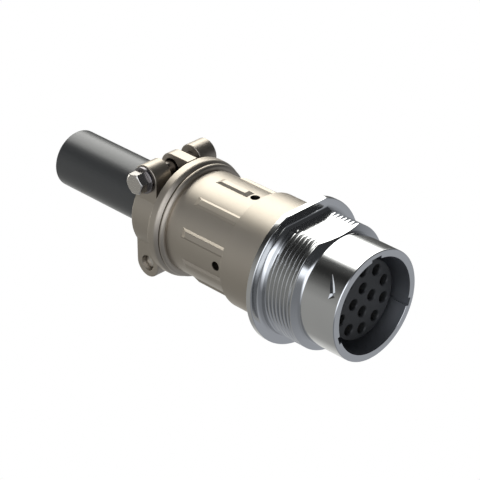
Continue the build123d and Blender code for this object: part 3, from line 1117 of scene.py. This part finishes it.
def saddleCasting(name, replaced, degrees):
    # a bar with round ends, arched out over the cable
    station, height, lug = saddle["station"], saddle["height"], saddle["lug"]
    inner, outer = saddle["inner"], saddle["outer"]
    bar = plate((station, -inner, 0), 2 * lug, 2 * (height + lug))
    roundCorners(bar, bar.verts[:], lug * roundEnd, 20)
    thicken(bar, outer - inner)
    arch = rod((station, 0, 0), axis, saddle["bulge"], 2 * lug, segments=128)
    cutPlane(arch, -sideways * (inner + saddle["archFoot"]), sideways, clearAhead=True)
    closeHoles(arch)
    bm = carve(bar, arch, "UNION")
    bmesh.ops.dissolve_limit(bm, angle_limit=0.001, verts=bm.verts[:], edges=bm.edges[:])
    bevelEdges(bm, creases(bm, lambda spot: spot.y < near - outer, angle=20), saddle["edge"], 4)
    bevelEdges(bm, creases(bm, lambda spot: spot.y > -inner - near, angle=20), saddle["innerEdge"], 3)
    bm = carve(bm, rod((station, 0, 0), axis, saddle["cable"], 4 * lug, segments=128))
    for side, radius in ((1, saddle["clearHole"]), (-1, saddle["tappedHole"])):
        centre = Vector((station, -outer, side * height))
        bm = carve(bm, rod(centre, sideways, radius, 2 * outer))
        bevelEdges(bm, creases(bm, lambda spot: (spot - centre).length < radius + near), saddle["holeEdge"])
    addPiece(rotated(bm, degrees), name, "backshell_metal", [replaced])


saddleCasting("nearSaddleCasting", "near_saddle", 0)
saddleCasting("farSaddleCasting", "far_saddle", 180)

# Screws and spring washers

screw = {
    "station": clamp["screwStation"],
    "height": clamp["screwHeight"],
    "radius": 2.5,
    "seat": 14.3,
    "flats": 6.35,
    "head": 3.5,
    "headTurn": 11,  # from +X towards +Z
    "headEdge": 0.38,
    "headSlope": 60,  # of the corners' cone, from the axis
    "headBurr": 0.06,
    "shankInHead": 0.5,
    "tip": 11.5,
    "tipEdge": 0.8,
}
washer = {
    "seat": 13.05,
    "thickness": 1.2,
    "outer": 4.3,
    "inner": 2.75,
    "gap": 14,        # degrees
    "gapTurn": 150,
    "edge": 0.15,
    "steps": 72,
}


def alongY(bm, station, height):
    # from the axis out to a screw's place, its +X end towards -Y
    turn = Matrix.Rotation(math.radians(-90), 3, "Z")
    bmesh.ops.rotate(bm, verts=bm.verts[:], cent=(0, 0, 0), matrix=turn)
    bmesh.ops.translate(bm, vec=Vector((station, 0, height)) * mm, verts=bm.verts[:])
    return bm


def hexScrew(name, replaced, degrees):
    # a hexagon with its end lathed to a cone at the corners, on a plain shank
    seat, end = screw["seat"], screw["seat"] + screw["head"]
    corner = screw["flats"] / math.sqrt(3)
    head = rod(axis * (seat + end) / 2, axis, corner, screw["head"], segments=6)
    first = max(head.verts, key=lambda vert: vert.co.y)
    rotated(head, screw["headTurn"] - math.degrees(math.atan2(first.co.z, first.co.y)))
    edge, slope = screw["headEdge"], math.tan(math.radians(screw["headSlope"]))
    lathed = turned([
        (end - edge - past, corner + past * slope),
        (end + past, corner - (edge + past) * slope),
        (end + past, corner + past * slope),
    ], steps=96)
    head = carve(head, lathed)
    bevelEdges(head, creases(head, lambda spot: spot.x > seat + near, angle=15), screw["headBurr"])
    shank = turned([
        (seat + screw["shankInHead"], 0),
        (seat + screw["shankInHead"], screw["radius"]),
        (-screw["tip"], screw["radius"], screw["tipEdge"]),
        (-screw["tip"], 0),
    ], steps=64)
    bm = alongY(together(head, shank), screw["station"], screw["height"])
    addPiece(rotated(bm, degrees), name, "fastener_steel", [replaced])


def splitWasher(name, replaced, degrees):
    # a square section wound once round the screw, its two ends a little apart
    middle = (washer["outer"] + washer["inner"]) / 2
    place = (washer["seat"] + washer["thickness"] / 2, 0, middle)
    bm = plate(place, washer["thickness"], washer["outer"] - washer["inner"])
    roundCorners(bm, bm.verts[:], washer["edge"], 3)
    bmesh.ops.spin(
        bm, geom=bm.faces[:], cent=(0, 0, 0), axis=axis, angle=fullTurn - math.radians(washer["gap"]),
        steps=washer["steps"], use_merge=False, use_duplicate=False,
    )
    bmesh.ops.recalc_face_normals(bm, faces=bm.faces[:])
    rotated(bm, washer["gapTurn"])
    bm = alongY(bm, screw["station"], screw["height"])
    addPiece(rotated(bm, degrees), name, "fastener_steel", [replaced], darkWasherSteel)


for side, degrees in (("top", 0), ("bottom", 180)):
    hexScrew(side + "HexScrew", side + "_screw", degrees)
    splitWasher(side + "SplitWasher", side + "_spring_washer", degrees)

# Cable

cableLow, cableHigh = reach("cable_jacket")
cable = {
    "front": cableHigh.x,
    "end": cableLow.x,
    "radius": cableHigh.y,
    "bore": 7.7,
    "cutEdge": 0.15,
    "wireRings": [(5.8, 10, 18.0), (2.0, 4, 0.0)],  # circle, count and first angle
    "strands": 7,
    "strandTurn": 15,      # from one wire to the next
    "strandRadius": 0.17,
    "strandReach": 0.15,   # how far the strands stand out of the cut
    "strandLength": 1.0,
}


def cableSheath():
    addPiece(turned([
        (cable["front"], cable["bore"]),
        (cable["front"], cable["radius"]),
        (cable["end"], cable["radius"], cable["cutEdge"]),
        (cable["end"], cable["bore"]),
    ]), "cableSheath", "cable_jacket", ["cable_jacket"])


def wireStrands():
    # copper strands in the cut ends of the wires: one in the middle and six round it
    radius, length = cable["strandRadius"], cable["strandLength"]
    station = cable["end"] + length / 2 - cable["strandReach"]
    around = cable["strands"] - 1
    strands = []
    for circle, count, first in cable["wireRings"]:
        for wire in range(count):
            centre = outward(first + 360 / count * wire) * circle + axis * station
            strands.append(rod(centre, axis, radius, length, segments=12))
            for strand in range(around):
                aside = outward(360 / around * (strand + 1) + cable["strandTurn"] * wire) * 2 * radius
                strands.append(rod(centre + aside, axis, radius, length, segments=12))
    addPiece(together(*strands), "wireStrands", "contact_brass", material=copper)


cableSheath()
wireStrands()
print("pieces made")
